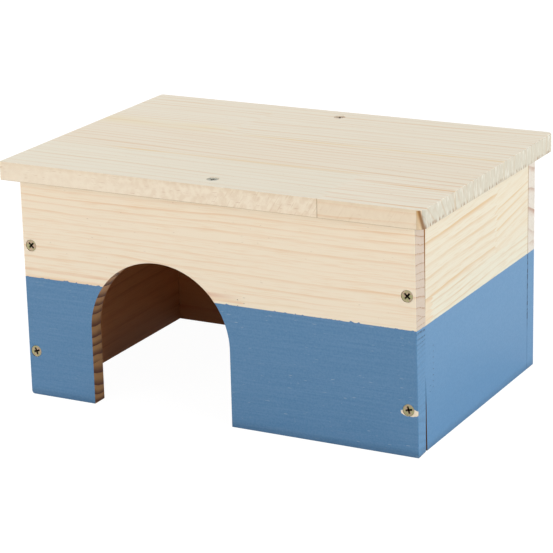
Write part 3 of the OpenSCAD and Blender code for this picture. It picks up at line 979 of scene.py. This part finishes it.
def screw_tree(finish):
    """Nodes that build one screw, head up with its top at the origin, and set it on every point."""
    tree = bpy.data.node_groups.new("wood_screws", "GeometryNodeTree")
    tree.interface.new_socket("Places", in_out="INPUT", socket_type="NodeSocketGeometry")
    for name in ("Head Radius", "Screw Length"):
        tree.interface.new_socket(name, in_out="INPUT", socket_type="NodeSocketFloat")
    tree.interface.new_socket("Screws", in_out="OUTPUT", socket_type="NodeSocketGeometry")
    given = add(tree, "NodeGroupInput").outputs

    # Head: a cone with a rim, less a cross that narrows downwards
    taper = add(tree, MATH, (given["Head Radius"], shank_radius), operation="SUBTRACT")
    cone = add(tree, "GeometryNodeMeshCone", {"Vertices": head_sides, "Radius Top": given["Head Radius"],
                                              "Radius Bottom": shank_radius, "Depth": taper})
    below = add(tree, MATH, (taper, -1.0, -head_rim), operation="MULTIPLY_ADD")
    lowered = add(tree, "ShaderNodeCombineXYZ", {"Z": below})
    cone = add(tree, "GeometryNodeTransform", {"Geometry": cone, "Translation": lowered})
    facing = add(tree, SPLIT, (add(tree, "GeometryNodeInputNormal"),)).outputs["Z"]
    is_top = add(tree, "FunctionNodeCompare", {"A": facing, "B": squarely}, operation="GREATER_THAN")
    rim = add(tree, "GeometryNodeExtrudeMesh", {"Mesh": cone, "Selection": is_top, "Offset": (0, 0, 1),
                                                "Offset Scale": head_rim}, mode="FACES")
    bar_length = 1.4 * cross_span
    bars = [add(tree, "GeometryNodeMeshCube", {"Size": (bar_length, cross_width, 2 * cross_depth)}),
            add(tree, "GeometryNodeMeshCube", {"Size": (cross_width, bar_length, 2 * cross_depth)})]
    cross = add(tree, "GeometryNodeMeshBoolean", {1: bars}, operation="UNION", solver="EXACT")
    slope = (cross_span / 2 - cross_width) / cross_depth
    funnel_depth = 1.5 * cross_depth
    funnel = add(tree, "GeometryNodeMeshCone", {
        "Vertices": shank_sides, "Radius Bottom": cross_width,
        "Radius Top": cross_width + slope * funnel_depth, "Depth": funnel_depth})
    funnel = add(tree, "GeometryNodeTransform", {"Geometry": funnel, "Translation": (0, 0, -cross_depth)})
    recess = add(tree, "GeometryNodeMeshBoolean", {1: [cross, funnel]}, operation="INTERSECT",
                 solver="EXACT")
    head = add(tree, "GeometryNodeMeshBoolean", {0: rim, 1: recess}, operation="DIFFERENCE",
               solver="EXACT")

    # Shank, threaded core, point and thread
    shank = add(tree, "GeometryNodeMeshCylinder", {
        "Vertices": shank_sides, "Radius": shank_radius, "Depth": shank_length - cross_depth})
    shank_middle = (0, 0, -(shank_length + cross_depth) / 2)
    core_length = add(tree, MATH, (given["Screw Length"], shank_length + point_length),
                      operation="SUBTRACT")
    core = add(tree, "GeometryNodeMeshCylinder", {
        "Vertices": shank_sides, "Radius": core_radius, "Depth": core_length})
    core_middle = add(tree, MATH, (core_length, -0.5, -shank_length), operation="MULTIPLY_ADD")
    tip = add(tree, "GeometryNodeMeshCone", {
        "Vertices": shank_sides, "Radius Top": core_radius, "Radius Bottom": point_radius,
        "Depth": point_length})
    foot = add(tree, MATH, (given["Screw Length"], -1.0), operation="MULTIPLY")
    winds = add(tree, MATH, (core_length, thread_pitch), operation="DIVIDE")
    helix = add(tree, "GeometryNodeCurveSpiral", {
        "Resolution": thread_steps, "Rotations": winds, "Height": core_length,
        "Start Radius": core_radius, "End Radius": core_radius})
    ridge_height = thread_radius - core_radius
    ridge = add(tree, "GeometryNodeCurvePrimitiveCircle", {"Resolution": ridge_sides, 4: ridge_height})
    thread = add(tree, "GeometryNodeCurveToMesh", {"Curve": helix, "Profile Curve": ridge})
    thread_foot = add(tree, MATH, (foot, point_length), operation="ADD")
    parts = [head, add(tree, "GeometryNodeTransform", {"Geometry": shank, "Translation": shank_middle})]
    for part, drop in ((core, core_middle), (tip, foot), (thread, thread_foot)):
        lowered = add(tree, "ShaderNodeCombineXYZ", {"Z": drop})
        parts.append(add(tree, "GeometryNodeTransform", {"Geometry": part, "Translation": lowered}))
    whole = add(tree, "GeometryNodeJoinGeometry", {"Geometry": parts})
    screw = add(tree, "GeometryNodeStoreNamedAttribute", {
        "Geometry": whole, "Name": "on_screw", "Value": add(tree, "GeometryNodeInputPosition")},
        data_type="FLOAT_VECTOR", domain="POINT")

    # One screw on every point, aimed and turned
    out = add(tree, "GeometryNodeInputNamedAttribute", {"Name": "out"}, data_type="FLOAT_VECTOR")
    turn = add(tree, "GeometryNodeInputNamedAttribute", {"Name": "turn"}, data_type="FLOAT")
    aim = add(tree, "FunctionNodeAlignRotationToVector", {"Vector": out}, axis="Z")
    about = add(tree, "FunctionNodeAxisAngleToRotation", {"Axis": (0, 0, 1), "Angle": turn})
    pose = add(tree, "FunctionNodeRotateRotation", {"Rotation": aim, "Rotate By": about},
               rotation_space="LOCAL")
    placed = add(tree, "GeometryNodeInstanceOnPoints", {
        "Points": given["Places"], "Instance": screw, "Rotation": pose})
    solid = add(tree, "GeometryNodeRealizeInstances", {"Geometry": placed})
    dressed = add(tree, "GeometryNodeSetMaterial", {"Geometry": solid, "Material": finish})
    add(tree, "NodeGroupOutput", {"Screws": dressed})
    return tree


places_mesh = bpy.data.meshes.new("screw_places")
places = [head_place(node) for node in screw_nodes]
places_mesh.from_pydata([place for place, out in places], [], [])
outs = places_mesh.attributes.new("out", "FLOAT_VECTOR", "POINT")
outs.data.foreach_set("vector", [value for place, out in places for value in out])
boards = [node.split("_")[0] for node in screw_nodes]
numbers = [int(node.split("_")[-1]) for node in screw_nodes]
for name, values in (
    ("turn", [math.radians(turns[board][number - 1]) for board, number in zip(boards, numbers)]),
    ("grey", [roof_grey if board == "roof" else 0.0 for board in boards]),
    ("rust", [float(node == rusty_screw) for node in screw_nodes]),
):
    entries = places_mesh.attributes.new(name, "FLOAT", "POINT")
    entries.data.foreach_set("value", values)
screws = set_out("wood_screws", places_mesh)
setting = screws.modifiers.new("screws", "NODES")
setting.node_group = screw_tree(zinc())
sizes = {"Head Radius": head_radius, "Screw Length": screw_length}
for socket in setting.node_group.interface.items_tree:
    if socket.name in sizes:
        setting[socket.identifier] = sizes[socket.name]
bake(screws, setting)
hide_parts(*screw_nodes)
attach(screws, "root")

# Studio. The house stands on a broad sheet of white paper, which looks white to the camera, keeps a
# soft shadow, and lights the house from below as plain paper does. Under the house it also glows in
# reflections, a painted reflection that lightens the inside. Four softboxes stand round it, the
# strongest on its right, in plain light from all sides.
floor_size = 4.0
paper_glow = 0.97
paper_shade = (0.1, 0.1, 0.1, 1)
paper_white = (0.8, 0.8, 0.8, 1)
glossy_glow_share = 0.8
room_light = 0.35
lamp_aim = Vector((0, 0, 0.07))
floor_mesh = bpy.data.meshes.new("floor")
half = floor_size / 2
sheet = [(-half, -half, 0), (half, -half, 0), (half, half, 0), (-half, half, 0)]
floor_mesh.from_pydata(sheet, [], [(0, 1, 2, 3)])
floor = set_out("floor", floor_mesh)
floor_paper = bpy.data.materials.new("white_paper")
tree = empty_tree(floor_paper)
path = add(tree, "ShaderNodeLightPath").outputs
point = add(tree, "ShaderNodeTexCoord").outputs["Object"]
away = add(tree, VECTOR, (point,), operation="ABSOLUTE")
away_x, away_y, _ = add(tree, SPLIT, (away,)).outputs
# Painted reflection: under the house the paper glows to glossy rays, which lightens the inside
seen = add(tree, MATH, (path["Is Glossy Ray"], glossy_glow_share), operation="MULTIPLY")
for off, reach in ((away_x, right_end), (away_y, back_inside)):
    under = add(tree, MATH, (off, reach), operation="LESS_THAN")
    seen = add(tree, MATH, (seen, under), operation="MULTIPLY")
for kind in ("Is Camera Ray", "Is Transmission Ray"):
    seen = add(tree, MATH, (seen, path[kind]), operation="MAXIMUM")
glow = add(tree, "ShaderNodeEmission", {"Color": (1, 1, 1, 1), "Strength": paper_glow})
shaded = add(tree, "ShaderNodeBsdfDiffuse", {"Color": paper_shade})
bright = add(tree, "ShaderNodeAddShader", (glow, shaded))
dim = add(tree, "ShaderNodeBsdfDiffuse", {"Color": paper_white})
paper = add(tree, "ShaderNodeMixShader", (seen, dim, bright))
add(tree, "ShaderNodeOutputMaterial", {"Surface": paper})
floor_mesh.materials.append(floor_paper)

world = bpy.data.worlds.new("studio")
bpy.context.scene.world = world
tree = empty_tree(world)
path = add(tree, "ShaderNodeLightPath").outputs
seen = path["Is Camera Ray"]
for kind in ("Is Glossy Ray", "Is Transmission Ray"):
    seen = add(tree, MATH, (seen, path[kind]), operation="MAXIMUM")
level = add(tree, RANGE, (seen, 0.0, 1.0, room_light, 1.0))
sky = add(tree, "ShaderNodeBackground", {"Color": (1, 1, 1, 1), "Strength": level})
add(tree, "ShaderNodeOutputWorld", {"Surface": sky})

for name, place, size, watts, tint in (
    ("front_softbox", (-1.4, -2.2, 0.42), 1.8, 35, (1, 1, 1)),
    ("side_softbox", (2.4, -0.5, 0.5), 1.8, 55, (0.94, 1, 0.985)),
    ("left_softbox", (-2.3, 0.3, 1.3), 1.2, 41, (1, 1, 1)),
    ("back_softbox", (1.6, 2.0, 1.2), 1.2, 30, (1, 1, 1)),
):
    lamp = bpy.data.lights.new(name, "AREA")
    lamp.size = size
    lamp.energy = watts
    lamp.color = tint
    softbox = set_out(name, lamp)
    softbox.location = place
    softbox.rotation_euler = (Vector(place) - lamp_aim).to_track_quat("Z", "Y").to_euler()

# Camera. A long lens on a full-frame body, from the right of the front and a little above, held a
# little askew. Its place, lens and shift were fitted to the house's edges and screws in the photo.
camera = bpy.data.cameras.new("camera")
camera.sensor_width = 36
camera.lens = 152.31
camera.shift_x = 0.0010
camera.shift_y = 0.0080
viewpoint = set_out("camera", camera)
viewpoint.location = (0.6496, -1.2206, 0.4999)
heading, tilt, roll = math.radians(28.199), math.radians(90 - 17.483), math.radians(-1.416)
turn = Euler((tilt, 0, heading)).to_matrix() @ Matrix.Rotation(roll, 3, "Z")
viewpoint.rotation_euler = turn.to_euler()
bpy.context.scene.camera = viewpoint
bpy.context.scene.view_settings.view_transform = "Standard"
